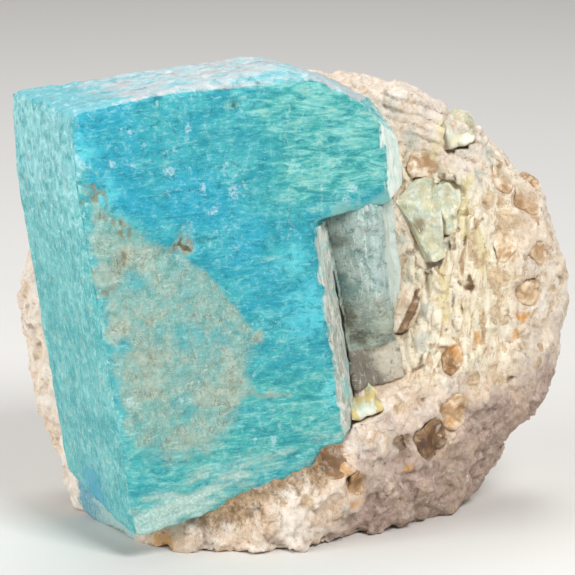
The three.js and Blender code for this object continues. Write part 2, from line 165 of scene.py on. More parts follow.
class Piece:
    """A fine mesh that stands for a CAD node. points are its vertices in millimetres."""

    def __init__(self, node, name, spacing):
        self.node = node
        self.solid = frame["nodes"][node]
        self.object = added(name, self.solid.data.copy())
        even = self.object.modifiers.new("even", "REMESH")
        even.mode = "VOXEL"
        even.voxel_size = spacing * MM
        graph = bpy.context.evaluated_depsgraph_get()
        mesh = bpy.data.meshes.new_from_object(self.object.evaluated_get(graph))
        self.object.modifiers.clear()
        self.object.data = mesh
        mesh.name = name
        mesh.materials.clear()
        self.read()

    def read(self):
        mesh = self.object.data
        points = np.empty(len(mesh.vertices) * 3)
        mesh.vertices.foreach_get("co", points)
        self.points = points.reshape(-1, 3) / MM
        normals = np.empty(len(mesh.vertices) * 3)
        mesh.vertex_normals.foreach_get("vector", normals)
        self.normals = normals.reshape(-1, 3)

    def write(self):
        mesh = self.object.data
        mesh.vertices.foreach_set("co", (self.points * MM).ravel())
        mesh.update()
        self.read()

    def snap(self):
        """Every point goes to the nearest place on the solid, so that its flat faces are flat."""
        mesh = self.solid.data
        corners = [v.co.copy() for v in mesh.vertices]
        tree = BVHTree.FromPolygons(corners, [tuple(f.vertices) for f in mesh.polygons])
        self.points = np.array([tree.find_nearest(Vector(p) * MM)[0] for p in self.points]) / MM
        self.write()

    def raise_by(self, height):
        """Every point moves out along its normal."""
        self.points = self.points + self.normals * np.asarray(height)[:, None]
        self.write()

    @contextmanager
    def opened(self):
        """The mesh in a form that can be edited, and afterwards the mesh with those edits."""
        fine = bmesh.new()
        fine.from_mesh(self.object.data)
        yield fine
        fine.to_mesh(self.object.data)
        fine.free()
        self.read()

    def refine(self, chosen):
        """Halves the edges between the chosen points."""
        with self.opened() as fine:
            edges = [e for e in fine.edges if chosen[e.verts[0].index] and chosen[e.verts[1].index]]
            bmesh.ops.subdivide_edges(fine, edges=edges, cuts=1, use_grid_fill=True)
            bmesh.ops.triangulate(fine, faces=[f for f in fine.faces if len(f.verts) > 4])

    def soften(self, rounds, chosen=None):
        """Evens the points out, or only the chosen ones."""
        every_axis = {"use_axis_x": True, "use_axis_y": True, "use_axis_z": True}
        with self.opened() as fine:
            moving = [v for v in fine.verts if chosen is None or chosen[v.index]]
            for _ in range(rounds):
                bmesh.ops.smooth_vert(fine, verts=moving, factor=0.5, **every_axis)

    def blunt(self, limit):
        """A point farther than a limit, in millimetres, from the middle of those around it goes there."""
        moved = {}
        with self.opened() as fine:
            for point in fine.verts:
                around = [edge.other_vert(point).co for edge in point.link_edges]
                middle = sum(around, Vector()) / len(around)
                if (middle - point.co).length > limit * MM:
                    moved[point] = middle
            for point, middle in moved.items():
                point.co = middle

    def note(self, **masks):
        """Keeps masks for the piece's material to read by name: a number for each point, or one for all."""
        for name, values in masks.items():
            attribute = self.object.data.attributes.new(name, "FLOAT", "POINT")
            attribute.data.foreach_set("value", np.full(len(self.points), values, np.float32))

    def mask(self, name):
        """The numbers kept under a name."""
        kept = np.empty(len(self.points), np.float32)
        self.object.data.attributes[name].data.foreach_get("value", kept)
        return kept

    def note_place(self, places):
        """Keeps the places in which the material's patterns are laid out, in millimetres."""
        attribute = self.object.data.attributes.new("place", "FLOAT_VECTOR", "POINT")
        attribute.data.foreach_set("vector", np.asarray(places, np.float32).ravel())

    def finish(self, material):
        self.object.data.materials.append(material)
        self.object.data.shade_smooth()
        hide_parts(self.node)
        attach(self.object, "root")


def sharp_edges(solid, degrees=25):
    """The ends of the edges where a solid's faces turn by more than an angle, in millimetres."""
    mesh = solid.data
    face_normals = {}
    for face in mesh.polygons:
        keys = [tuple(round(c / MM, 2) for c in mesh.vertices[i].co) for i in face.vertices]
        for a, b in zip(keys, keys[1:] + keys[:1]):
            face_normals.setdefault(frozenset((a, b)), []).append(face.normal.copy())
    ends = []
    for pair, normals in face_normals.items():
        if len(pair) == 2 and len(normals) == 2 and normals[0].angle(normals[1], 0) > math.radians(degrees):
            ends.append(tuple(pair))
    return np.array(ends)


def distance_to_edges(piece):
    """How far each point of a piece is from the nearest sharp edge of its solid."""
    points = piece.points
    nearest = np.full(len(points), FAR)
    for a, b in sharp_edges(piece.solid):
        step = b - a
        t = np.clip((points - a) @ step / (step @ step), 0, 1)
        nearest = np.minimum(nearest, np.linalg.norm(points - a - t[:, None] * step, axis=1))
    return nearest


# ---------- materials


def colour(code):
    """A scene colour from a six-digit hexadecimal display colour."""
    channels = [int(code[i : i + 2], 16) / 255 for i in (1, 3, 5)]
    return [c / 12.92 if c <= 0.04045 else ((c + 0.055) / 1.055) ** 2.4 for c in channels] + [1]


class Finish:
    """A procedural material. Each method adds one node and gives its output."""

    def __init__(self, name, roughness, specular=0.5):
        self.material = bpy.data.materials.new(name)
        self.material.use_nodes = True
        self.nodes = self.material.node_tree.nodes
        self.links = self.material.node_tree.links
        self.shader = self.nodes["Principled BSDF"]
        self.shader.inputs["Roughness"].default_value = roughness
        self.shader.inputs["Specular IOR Level"].default_value = specular
        self.place = self.attribute("place", "Vector")

    def put(self, socket, value):
        if isinstance(value, bpy.types.NodeSocket):
            self.links.new(value, socket)
        else:
            socket.default_value = value

    def attribute(self, name, output="Fac"):
        node = self.nodes.new("ShaderNodeAttribute")
        node.attribute_name = name
        return node.outputs[output]

    def stretched(self, lengths, turn=(0, 0, 0)):
        """The place, turned and then measured in units of one length for each axis."""
        node = self.nodes.new("ShaderNodeMapping")
        self.put(node.inputs["Vector"], self.place)
        node.inputs["Rotation"].default_value = [math.radians(a) for a in turn]
        if any(turn):
            after = self.nodes.new("ShaderNodeMapping")
            self.put(after.inputs["Vector"], node.outputs[0])
            node = after
        node.inputs["Scale"].default_value = [1 / length for length in lengths]
        return node.outputs[0]

    def cloud(self, size, detail=4, roughness=0.6, distortion=0.0, turn=(0, 0, 0)):
        """Cloudy noise, about 0.25 to 0.75. size is its length, or one for each axis; turn is in degrees."""
        lengths = size if isinstance(size, tuple) else (size, size, size)
        node = self.nodes.new("ShaderNodeTexNoise")
        self.put(node.inputs["Vector"], self.stretched(lengths, turn))
        node.inputs["Scale"].default_value = 1
        node.inputs["Detail"].default_value = detail
        node.inputs["Roughness"].default_value = roughness
        node.inputs["Distortion"].default_value = distortion
        return node.outputs["Fac"]

    def lines(self, size, width, detail=5, roughness=0.6, distortion=0.8):
        """1 on thin winding lines, 0 beside them. size is about how far apart they are."""
        level = self.add(self.cloud(size, detail, roughness, distortion), -0.5)
        return self.ramp(self.math("ABSOLUTE", level), width, 0)

    def math(self, operation, a, b=0.0):
        node = self.nodes.new("ShaderNodeMath")
        node.operation = operation
        self.put(node.inputs[0], a)
        self.put(node.inputs[1], b)
        return node.outputs[0]

    def add(self, a, b):
        return self.math("ADD", a, b)

    def times(self, a, b):
        return self.math("MULTIPLY", a, b)

    def ramp(self, value, low, high, bottom=0.0, top=1.0):
        """bottom where value is under low, top where it is over high, and smooth between."""
        node = self.nodes.new("ShaderNodeMapRange")
        node.interpolation_type = "SMOOTHSTEP"
        self.put(node.inputs["Value"], value)
        node.inputs["From Min"].default_value = low
        node.inputs["From Max"].default_value = high
        node.inputs["To Min"].default_value = bottom
        node.inputs["To Max"].default_value = top
        return node.outputs["Result"]

    def patch(self, mask, noise, amount, low, high, share=1.0):
        """From 0 to a share where the mask of this name is high, with a border that follows some noise."""
        uneven = self.add(self.attribute(mask), self.times(self.add(noise, -0.5), amount))
        return self.ramp(uneven, low, high, 0.0, share)

    def mix(self, a, b, share):
        """Colour a, with this share of colour b. Colours are sockets or hexadecimal codes."""
        node = self.nodes.new("ShaderNodeMix")
        node.data_type = "RGBA"
        self.put(node.inputs["Factor"], share)
        for socket, value in zip((node.inputs[6], node.inputs[7]), (a, b)):
            self.put(socket, colour(value) if isinstance(value, str) else value)
        return node.outputs[2]

    def tint(self, body, shade, noise, low, high, share=1.0):
        """The body with none of a colour where some noise is before low, and a share of it past high."""
        return self.mix(body, shade, self.ramp(noise, low, high, 0.0, share))

    def layered(self, body, *layers):
        """The body under several tints, each as its colour and what says where it is."""
        for layer in layers:
            body = self.tint(body, *layer)
        return body

    def zoned(self, body, *zones):
        """The body under several patches, each as its colour and what says where it is."""
        for shade, *zone in zones:
            body = self.mix(body, shade, self.patch(*zone))
        return body

    def base(self, socket):
        self.put(self.shader.inputs["Base Color"], socket)

    def bump(self, height, depth):
        """Relief too fine for the mesh. height runs from 0 to 1, and depth is in millimetres."""
        node = self.nodes.new("ShaderNodeBump")
        node.inputs["Distance"].default_value = depth * MM
        self.put(node.inputs["Height"], height)
        self.put(self.shader.inputs["Normal"], node.outputs[0])


# ---------- amazonite crystal

# On the broad face, all as r and u. The line below which the face is weathered to a greenish grey:
WEATHERING_LINE = [(-3, -9.5), (2.7, -11.9), (4.8, -17), (9.9, -21.8), (13.2, -25.5), (18.2, -28.9),
                   (22.9, -33.1), (30.1, -45.3), (38.5, -56.9), (46, -66)]
# Patches that kept their colour inside the weathered part, and beige patches in and below it: r, u, radius.
FRESH_PATCHES = [(17.4, -46.5, 3.6), (22.8, -47.2, 2.4), (3.2, -63.2, 3.2), (8.5, -33.5, 2.4),
                 (5.2, -70, 3.6), (31, -57.5, 3), (4.5, -44.5, 2.2), (14.5, -60, 2.4), (16.5, -38, 2.6)]
BEIGE_PATCHES = [(24.5, -56.5, 3.6), (9, -48, 3.8), (8.8, -53.5, 3.6), (4, -31, 2.8), (4.2, -41, 2.6),
                 (14, -65, 2.6), (31.5, -48.7, 1.1), (7.5, -28, 2.2), (19.5, -57.6, 3), (24.5, -60, 1.4)]
BEIGE_STREAK = [(25.5, -58.6), (31.8, -60), (36.2, -61.2)]
BLUE_PATCHES = [(31, -34, 10), (41, -46, 8), (24, -24, 8)]
BRIGHT_PATCHES = [(2.5, -8, 3.5), (42, -46, 5), (41, -36, 3), (6, -16, 2.5), (45, -63, 3)]
# White flecks: r, u, radius.
FLECKS = [(12.6, -6.6, 1.1), (18.5, -14.5, 1.4), (24.2, -18.7, 0.9), (11.6, -12, 0.9), (26.4, -23.4, 1.2),
          (30.9, -20.7, 1.1), (33.1, -20.1, 0.7), (23.6, -7.5, 1.1), (29.5, -15.5, 0.9), (8, -11.4, 0.9),
          (11.5, -5.2, 0.6), (18.6, -1.8, 0.6), (9.3, -8.2, 0.6), (47.5, -23.9, 0.8), (54.3, -24.6, 1.3),
          (52.4, -26, 0.8), (31.5, -69, 1.1), (27.6, -68.1, 0.7), (29.4, -55.7, 0.7), (14.2, -57.2, 0.9),
          (4.5, -55.3, 0.9), (31.8, -63, 0.5), (33, -66.5, 0.6), (15.2, -9, 0.6), (20.6, -11.4, 0.6)]
# Brown stains in the weathered part: r, u, radius.
STAINS = [(1.6, -17.2, 0.6), (4.7, -15.1, 1.3), (5.6, -19.6, 1), (8.2, -22.4, 0.9), (8.8, -23.8, 1.1),
          (7.6, -28.6, 1.1), (2.6, -30.6, 1.1), (2.9, -34.5, 1.5), (3.3, -41.8, 0.6), (10.6, -41.9, 0.7),
          (9.7, -47.5, 0.9), (10.5, -49, 0.9), (20.2, -28.2, 1), (18.4, -29.2, 0.9), (17.1, -32.4, 0.6),
          (24, -52.2, 0.6), (25.6, -57, 1.2), (10, -64.5, 0.6), (10.2, -68.6, 0.9), (30.9, -49.3, 0.7)]
STAINED_BAND = [(3.5, -14), (6.5, -21), (8.6, -27), (5.5, -34)]
PIT_AT = (33.3, -4.9)
NOTCH_AT = (19.6, -29)
NOTCH_ARMS = [[(19.6, -29), (20.4, -27), (21.8, -25.2)], [(19.6, -29), (16.6, -29.8), (13.6, -29)],
              [(19.6, -29), (21, -29.8)]]
UPRIGHT_CRACKS = [[(17.3, -31.5), (17.3, -34.5), (16.8, -38)],
                  [(9.9, -62.5), (9.5, -66), (9.8, -69), (8.9, -74)]]
HEALED_CRACKS = [[(27.8, -4), (27.3, -10), (26.2, -14)], [(43.6, -6), (41.8, -18), (40, -31)],
                 [(48.5, -16), (47.8, -24), (46.4, -31.4)]]
CORNER_CHIPS = [(-0.5, -2, 2.6), (1, -10.5, 1.6)]  # chalky
# Stains on the top, as r, n and radius, and spots and a patch on the left side, as u, n and radius.
TOP_STAINS = [(12.8, -12.5, 1.6), (3, -9, 1), (17, -20, 1)]
LEFT_TAN = [(-15.8, -26.3, 1.3), (-27.3, -32.1, 1.3), (-61, -13, 1.1)]
LEFT_VIOLET = [(-77, -19, 7)]
WEAR_WIDTH = 1.8  # the crystal is rounded this far from its edges
WEAR_ROUNDS = 6  # how often those points are evened out before the relief is added
FINAL_ROUNDS = 2  # how often they are after it, as are all of the sister crystal's points
LEDGE_U = -31  # the head of the crystal is above this
RIM_OF_HEAD = 60.8  # r where the bevels begin
RIM_OF_TRUNK = 44.8


def broad_face_colours(m, clouds, mottling, specks, strokes):
    """Deep turquoise in fine strokes along r, paler and greener to the right, with white frost."""
    shades = m.cloud((8, 4.5, 6), 6, 0.62, 0.6)
    long_strokes = m.cloud((6, 1.6, 5), 8, 0.72, 0.8, turn=(0, 0, 9))
    body = m.tint("#2398a8", "#42afb4", shades, 0.38, 0.62)
    body = m.zoned(
        body, ("#22a2bd", "bluer", clouds, 1.3, 0.2, 1), ("#3fa9a4", "greener", clouds, 1.3, 0.2, 1),
        ("#5cced9", "bright", mottling, 1.3, 0.2, 1, 0.75))
    body = m.layered(
        body, ("#117a8b", long_strokes, 0.48, 0.36, 0.65), ("#147c8a", mottling, 0.47, 0.36, 0.7),
        ("#84cfd6", mottling, 0.53, 0.66, 0.6), ("#0d6e7c", strokes, 0.46, 0.33, 0.55),
        ("#93dade", strokes, 0.53, 0.66, 0.55))
    wisps = m.ramp(m.add(long_strokes, m.times(m.attribute("wispy"), 0.17)), 0.57, 0.76)
    wisp_colour = m.tint("#94d9d5", "#b1d2bd", mottling, 0.48, 0.62)
    body = m.mix(body, wisp_colour, m.times(wisps, m.ramp(strokes, 0.32, 0.6, 0.25, 0.85)))
    frost = m.add(m.cloud(0.8, 8, 0.78), m.times(m.add(shades, -0.5), 0.5))
    body = m.tint(body, "#b5dde6", frost, 0.56, 0.7, 0.5)
    dust = m.ramp(m.cloud(0.34, 3), 0.62, 0.74)
    return m.mix(body, "#d9eef2", m.times(m.times(dust, m.ramp(specks, 0.44, 0.6)), 0.75))


def left_face_colours(m, clouds, mottling, specks):
    """Paler, with fine white hairs that stand upright."""
    upright = m.cloud((2.5, 3, 0.8), 8, 0.8, 0.7)
    hairs = m.cloud((1.2, 1.6, 0.2), 6, 0.72, 0.8)
    side = m.tint("#62b6b6", "#46a2a6", clouds, 0.38, 0.6)
    side = m.layered(
        side, ("#9ad2d1", mottling, 0.51, 0.63, 0.75), ("#328d91", mottling, 0.48, 0.38, 0.7),
        ("#a9d8d6", upright, 0.52, 0.66, 0.6), ("#2c878d", upright, 0.46, 0.34, 0.6),
        ("#dff3f2", hairs, 0.57, 0.66, 0.85), ("#d5ecea", specks, 0.58, 0.7, 0.5))
    side = m.mix(side, "#b3e2ea", m.patch("bright", mottling, 2.6, 0.3, 1.2, 0.7))
    side = m.tint(side, "#b9b9a4", m.cloud((1.6, 3, 1.2), 7, 0.7), 0.58, 0.66, 0.7)
    return m.mix(side, "#3695ba", m.patch("violet", mottling, 2, 0.3, 1.1, 0.7))


def weathered_colours(m, tints, mottling, specks, strokes):
    """Greyish teal with cream blotches, in the same strokes as the rest and under a fine white net."""
    blotches = m.cloud((3.4, 4.6, 4), 5, 0.55, 0.8)
    greys = m.tint("#70a8a0", "#8fb3a8", tints, 0.36, 0.62)
    greys = m.layered(
        greys, ("#b0bba8", blotches, 0.54, 0.66, 0.6), ("#559f9e", blotches, 0.48, 0.36, 0.8),
        ("#6c8b7c", mottling, 0.46, 0.35, 0.65), ("#c3d6ca", mottling, 0.54, 0.68, 0.45),
        ("#56928c", strokes, 0.46, 0.33, 0.55), ("#cfe3da", strokes, 0.54, 0.66, 0.5),
        ("#dde9df", specks, 0.57, 0.68, 0.45))
    net = m.lines((0.7, 1.8, 1), 0.02, 8, 0.72)
    return m.mix(greys, "#dfeae1", m.times(net, 0.5))


def chalky_colours(m, tints, mottling, specks):
    """Pinkish white and grey, turquoise where that shows through."""
    sheets = m.cloud((7, 3, 3), 7, 0.66, 0.6)
    pales = m.tint("#bdb9ba", "#dcdbdc", sheets, 0.4, 0.6)
    pales = m.mix(pales, "#72bac3", m.patch("turquoise", sheets, 2.6, 0.2, 0.9))
    pales = m.layered(
        pales, ("#59afbb", tints, 0.46, 0.36, 0.7), ("#8c8a84", mottling, 0.43, 0.33, 0.7),
        ("#e9eeee", mottling, 0.53, 0.66, 0.6))
    return m.tint(pales, "#eef2f1", specks, 0.56, 0.68, 0.45)


def rim_colours(m, tints, mottling):
    """The bevels on the right: streaky grey on the trunk, milky on the head."""
    streaks = m.cloud((1, 4, 0.8), 9, 0.76, 1)
    grey = m.tint("#9fa396", "#dcdfd6", streaks, 0.4, 0.6)
    grey = m.tint(grey, "#62665a", mottling, 0.45, 0.33, 0.8)
    milky = m.tint("#c2ddd3", "#edf6ee", streaks, 0.36, 0.56)
    rims = m.mix(m.tint(grey, "#7cc4c6", tints, 0.52, 0.64, 0.65), milky, m.attribute("light"))
    return m.tint(rims, "#8fcdcb", tints, 0.54, 0.66, 0.3)


def amazonite_material():
    m = Finish("amazonite", roughness=0.5, specular=0.3)
    clouds = m.cloud(8, 4, 0.55, 0.8)
    mottling = m.cloud(2, 9, 0.74, 0.5)
    specks = m.cloud(0.55, 6, 0.72)
    tints = m.cloud(3.4, 8, 0.7, 0.6)
    strokes = m.cloud((2.4, 0.55, 2), 8, 0.76, 0.4, turn=(0, 0, 7))
    veins = m.lines((1.6, 2.2, 1.6), 0.03, 8, 0.68, 1)
    side = left_face_colours(m, clouds, mottling, specks)
    body = broad_face_colours(m, clouds, mottling, specks, strokes)
    body = m.zoned(body, (side, "upright", mottling, 1.2, 0.2, 0.8))
    grey = m.patch("weathered", tints, 0.9, 0.15, 0.8)
    body = m.mix(body, weathered_colours(m, tints, mottling, specks, strokes), m.times(grey, 0.93))
    tan = m.tint("#a09f88", "#c5c3b0", mottling, 0.4, 0.58)
    body = m.zoned(body, (tan, "beige", tints, 1.2, 0.3, 1, 0.4))
    threads = m.times(m.times(veins, grey), m.ramp(tints, 0.46, 0.58, 0.05, 0.8))
    body = m.zoned(
        m.mix(body, "#6e6548", threads),
        (chalky_colours(m, tints, mottling, specks), "bleached", mottling, 1.6, 0.3, 0.9, 0.92),
        (rim_colours(m, tints, mottling), "rim", mottling, 1.6, 0.3, 0.8),
        (m.tint("#8f8463", "#5c5138", specks, 0.5, 0.6), "stained", mottling, 2.8, 0.45, 1, 0.75),
        ("#56563c", "cracked", mottling, 1.8, 0.35, 0.9, 0.8),
        ("#c3dfe8", "flecked", specks, 3.6, 0.45, 1.2, 0.65))
    body = m.mix(body, "#b9ddd0", m.times(m.attribute("healed"), m.ramp(specks, 0.42, 0.62, 0, 0.45)))
    ragged = m.cloud((3.5, 0.9, 3), 8, 0.7)
    body = m.zoned(
        body, (m.tint("#a5cbc1", "#d9e9e1", specks, 0.42, 0.6), "frosted", ragged, 2, 0.2, 1.1, 0.75),
        ("#7fb2ac", "faded", mottling, 2, 0.15, 1, 0.85))
    # Painted shade, dark green, in the pit.
    m.base(m.mix(body, "#24584c", m.attribute("pitted")))
    m.bump(m.add(specks, m.times(mottling, 0.6)), 0.2)
    return m.material


def crystal_masks(piece, broad, left, top, rim):
    """The zones of colour. The last four say how much each point is on that part of the crystal."""
    r, u, n = piece.place.T
    uneven = warped(piece.place, 2.4, 0.8, 3)
    face = uneven[:, :2]
    side = uneven[:, 1:]
    wander = 1.8 * rough(piece.place, 6, 3) + 0.8 * rough(piece.place, 2.2, 4)
    line_r, line_u = np.array(WEATHERING_LINE).T
    below = np.interp(r + 0.35 * wander, line_r, line_u) - u + 0.5 * wander
    ends = ramp(u, -74, -62) * (1 - ramp(r - 0.5 * (u + 62), 21, 28)) * ramp(r + 0.7 * wander, 0.5, 5.5)
    weathered = ramp(below, -1, 4) * ends * (0.95 - 0.5 * spots(face, FRESH_PATCHES, 1.2))
    beige = np.maximum(spots(face, BEIGE_PATCHES), 0.75 * along(face, BEIGE_STREAK, 0.9))
    pit = spots(face, [(*PIT_AT, 0.8)])
    pit_halo = spots(face, [(*PIT_AT, 1.7)])
    near_notch = spots(face, [(*NOTCH_AT, 1.8)])
    cracks = (0.35 + 0.8 * near_notch) * sum(along(face, route, 0.26) for route in NOTCH_ARMS)
    cracks = np.maximum(cracks, 0.6 * sum(along(face, route, 0.2) for route in UPRIGHT_CRACKS))
    crack_halo = sum(along(face, route, 1) for route in NOTCH_ARMS)
    wisps = np.clip(0.6 + 0.7 * rough(piece.place, (0.9, 1.3, 1), 15), 0, 1)
    stains = (0.95 * spots(face, STAINS, 1.3) + 0.45 * along(face, STAINED_BAND, 2.2)) * wisps
    foot = ramp(-u + 0.2 * (r - 10), 69, 77) * (1 - 0.5 * ramp(r, 14, 36))
    bottom = foot * np.clip(0.75 + 0.5 * rough(piece.place, (6, 1.6, 3), 8), 0, 1)
    edge = fade(piece.edge_distance, 0.9)
    corner = spots(face, CORNER_CHIPS) * (n > -6)
    head_right = ramp(r + 1.5 * wander, 28, 50) * ramp(u, -31, -22)
    top_stain = 0.8 * spots(uneven[:, [0, 2]], TOP_STAINS) * top
    left_stain = 0.55 * spots(side, LEFT_TAN) * left
    flecked = spots(face, FLECKS, 0.9) + 0.7 * pit_halo * (1 - pit) + 0.35 * crack_halo * (1 - cracks)
    bleached = 0.85 * top + 0.35 * edge * (1 - top) + 0.75 * corner
    bluer = (0.9 - 0.6 * ramp(r, 5, 20)) * (1 - ramp(r, 26, 36)) * ramp(u, -30, -18)
    bluer = bluer + 0.7 * spots(face, BLUE_PATCHES)
    ledge = ramp(r + 0.5 * wander, 44, 50) * ramp(-u + 0.6 * wander, -LEDGE_U - 6, -LEDGE_U - 1.5)
    piece.note(
        weathered=np.maximum.reduce([weathered, 0.7 * beige, 0.75 * bottom]) * broad,
        beige=np.clip(beige + 0.5 * crack_halo + 0.4 * spots(face, STAINS, 2), 0, 1) * broad,
        stained=np.clip((stains + 0.25 * crack_halo) * broad + left_stain + top_stain, 0, 1),
        cracked=cracks * broad,
        flecked=np.clip(flecked, 0, 1) * broad,
        healed=sum(along(face, route, 0.25) for route in HEALED_CRACKS) * broad,
        # Painted shade in the pit.
        pitted=pit**2 * broad,
        bleached=np.clip(bleached, 0, 1.1) * (1 - rim),
        turquoise=np.clip(1 - 0.6 * ramp(r, 4, 18) + 0.5 * ramp(-n, 22, 34), 0, 1),
        rim=rim,
        light=ramp(u, LEDGE_U - 2, LEDGE_U + 2),
        greener=np.clip(head_right + 0.7 * ramp(-u, 50, 60), 0, 1) * broad,
        bluer=np.clip(bluer, 0, 1) * (1 - ramp(below, -2, 3)) * broad,
        bright=np.maximum(spots(face, BRIGHT_PATCHES) * broad, 0.7 * left * ramp(u, -45, -8)),
        frosted=bottom * broad,
        faded=ledge * broad,
        violet=spots(side, LEFT_VIOLET) * left,
        wispy=np.clip(0.1 + 0.8 * head_right + 0.45 * ramp(-u, 50, 62), 0, 1),
        upright=np.maximum(left, 0.85 * broad * (1 - ramp(r + 0.7 * wander, 0, 5))),
    )


def right_rim(place, facing):
    """How much each point lies on the bevels down the right edges of the head and the trunk."""
    r, u, _ = place.T
    ragged = 0.7 * rough(place, (2, 3, 2), 30) + 0.45 * rough(place, (0.8, 2.2, 0.8), 31)
    start = np.where(u > LEDGE_U, RIM_OF_HEAD, RIM_OF_TRUNK)
    past_start = ramp(r + ragged - start, -0.6, 1.6)
    return past_start * ramp(facing[:, 2], -0.3, 0.1) * (1 - ramp(facing[:, 1], 0.4, 0.7))


def amazonite_crystal():
    piece = Piece("amazonite_crystal", "amazonite", CRYSTAL_GRAIN)
    piece.snap()
    piece.refine(piece.normals @ crystal_axes()[2] > 0.6)
    piece.place = on_crystal(piece.points)
    facing = piece.normals @ crystal_axes().T
    broad = ramp(facing[:, 2], 0.6, 0.95)
    left = ramp(-facing[:, 0], 0.2, 0.8)
    top = ramp(facing[:, 1], 0.45, 0.8)
    rim = right_rim(piece.place, facing)
    piece.edge_distance = distance_to_edges(piece)
    piece.note_place(piece.place)
    crystal_masks(piece, broad, left, top, rim)
    worn = piece.edge_distance < WEAR_WIDTH
    piece.soften(WEAR_ROUNDS, worn)

    place = piece.place
    r, _, n = place.T
    chipped, _ = chips(place, 2.6, 2)
    wear = fade(piece.edge_distance, 0.8) * (0.3 + 0.3 * rough(place, 2.4, 5) + 0.3 * chipped)
    worn_corner = 0.9 * fade(np.hypot(r, n), 3)
    height = -np.clip(wear, 0, 1) - worn_corner + 0.12 * fractal(place, 9, 3, 1)
    height += broad * (0.06 * rough(place, (5, 1.1, 3), 6) + 0.05 * rough(place, 1.3, 7))
    height += broad * piece.mask("weathered") * (0.16 * rough(place, 1.6, 13) + 0.1 * rough(place, 0.8, 14))
    height += left * (0.1 * rough(place, (3, 9, 1.4), 8) + 0.07 * rough(place, (2, 3, 0.9), 9))
    height += (top + rim) * (0.18 * rough(place, 2.1, 10) + 0.14 * rough(place, (1.2, 5, 1.2), 11))
    height -= 0.16 * piece.mask("flecked") + 0.35 * piece.mask("stained") * broad
    piece.raise_by(height)
    piece.soften(FINAL_ROUNDS, worn)
    piece.finish(amazonite_material())


# ---------- sister crystal

SISTER_MIDDLE = 56.2  # r along its middle
SISTER_HALF_WIDTH = 6
SISTER_END_U = -57  # the broken block is below this
# Hollows that carry painted shade, as r, u and radius.
SISTER_HOLLOWS = [(55.6, -33.7, 1), (51.4, -35.5, 1.5), (51.1, -49.1, 1.1), (51.3, -51, 1.5),
                  (54.2, -54.3, 2.2), (56.9, -49.6, 1.6), (56, -55.2, 1.8), (53.5, -59.8, 2.2)]
TEAL_STREAK = [(51.5, -42.5), (51.8, -46.8)]


def pale_amazonite_material():
    """Grey-green and mottled, with a pale turquoise middle that is partly a painted highlight, painted shade
    on its left side and in its hollows, and dark waves across its lower part.
    """
    m = Finish("pale_amazonite", roughness=0.42, specular=0.4)
    clouds = m.cloud(4, 7, 0.68, 0.7)
    mottling = m.cloud(1.6, 9, 0.78, 0.6)
    streaks = m.cloud((0.9, 4, 1), 9, 0.76, 0.8)
    waves = m.cloud((2.4, 0.6, 2), 9, 0.76, 1.2)
    crumbs = m.cloud(0.7, 7, 0.75)
    body = m.tint("#86a49d", "#a5b7ae", clouds, 0.4, 0.6)
    # A pale turquoise middle right of the centre, partly a painted highlight on the rounded column.
    body = m.mix(body, "#b4cfcb", m.patch("core", clouds, 2.4, 0.2, 1.1, 0.85))
    body = m.layered(
        body, ("#5f7d77", mottling, 0.48, 0.38, 0.8), ("#c6dcd8", mottling, 0.52, 0.63, 0.75),
        ("#dbe8e4", streaks, 0.52, 0.62, 0.8), ("#587771", streaks, 0.46, 0.36, 0.6),
        ("#ddd3cf", crumbs, 0.53, 0.64, 0.6), ("#56706b", crumbs, 0.46, 0.36, 0.55))
    low = m.tint("#8b968a", "#a9b3a2", clouds, 0.42, 0.58)
    low = m.tint(low, "#5f6255", waves, 0.47, 0.36, 0.85)
    low = m.tint(low, "#c0c4b4", waves, 0.53, 0.66, 0.8)
    body = m.zoned(
        body, ("#4a8587", "teal", mottling, 2.6, 0.3, 1, 0.75), (low, "wavy", mottling, 3, 0.1, 1))
    end = m.mix("#7d766a", "#cbc4b1", m.patch("end_light", mottling, 2.6, 0.2, 1))
    end = m.layered(
        end, ("#5f584c", mottling, 0.44, 0.34, 0.6), ("#ded7c6", streaks, 0.53, 0.66, 0.6),
        ("#e9e5da", crumbs, 0.54, 0.66, 0.6), ("#7c766b", crumbs, 0.45, 0.35, 0.5))
    body = m.mix(body, end, m.ramp(m.attribute("end"), 0.3, 0.7))
    body = m.mix(body, "#dbe5dc", m.patch("bleached", streaks, 2.4, 0.3, 1, 0.85))
    # Painted shade, olive-grey, in the hollows and down the left side.
    dim = m.patch("dark", m.add(m.times(mottling, 0.5), m.times(crumbs, 0.5)), 6, 0.35, 1.2, 0.75)
    m.base(m.mix(body, m.tint("#4f5347", "#6e6a5c", clouds, 0.45, 0.55), dim))
    m.bump(m.add(mottling, waves), 0.25)
    return m.material


